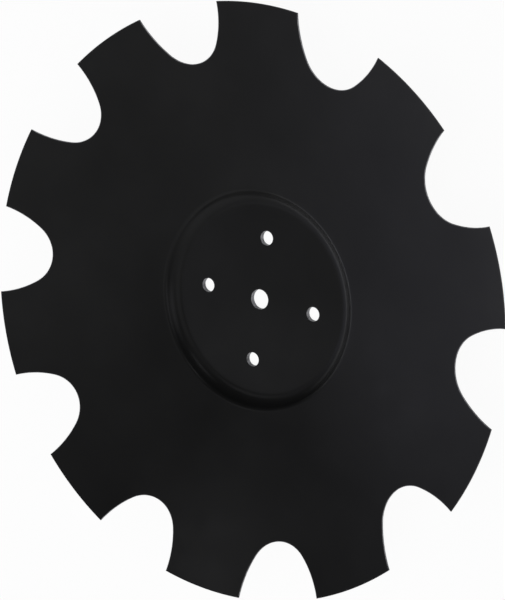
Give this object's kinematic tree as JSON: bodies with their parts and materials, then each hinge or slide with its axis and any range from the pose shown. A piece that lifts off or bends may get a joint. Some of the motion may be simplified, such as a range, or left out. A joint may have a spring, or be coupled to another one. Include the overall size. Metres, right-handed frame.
{
  "type": "harrow disc blade",
  "caption": "Notched, dished steel blade for a disc harrow, with a flat hub set back in the dish, a centre hole and a circle of bolt holes; it cuts and turns soil as it rolls.",
  "frame": {"origin": "centre of the hub's rear face, on which the blade lies", "axes": "+Z along the blade's axis, towards the hollow side; the middle of a notch is on +X"},
  "size_m": [0.553, 0.56, 0.059],
  "materials": {
    "black_paint": "smooth satin black paint on steel, a little thinner on the edges"
  },
  "bodies": {
    "root": {"disc_blade": "black_paint"}
  },
  "joints": []
}
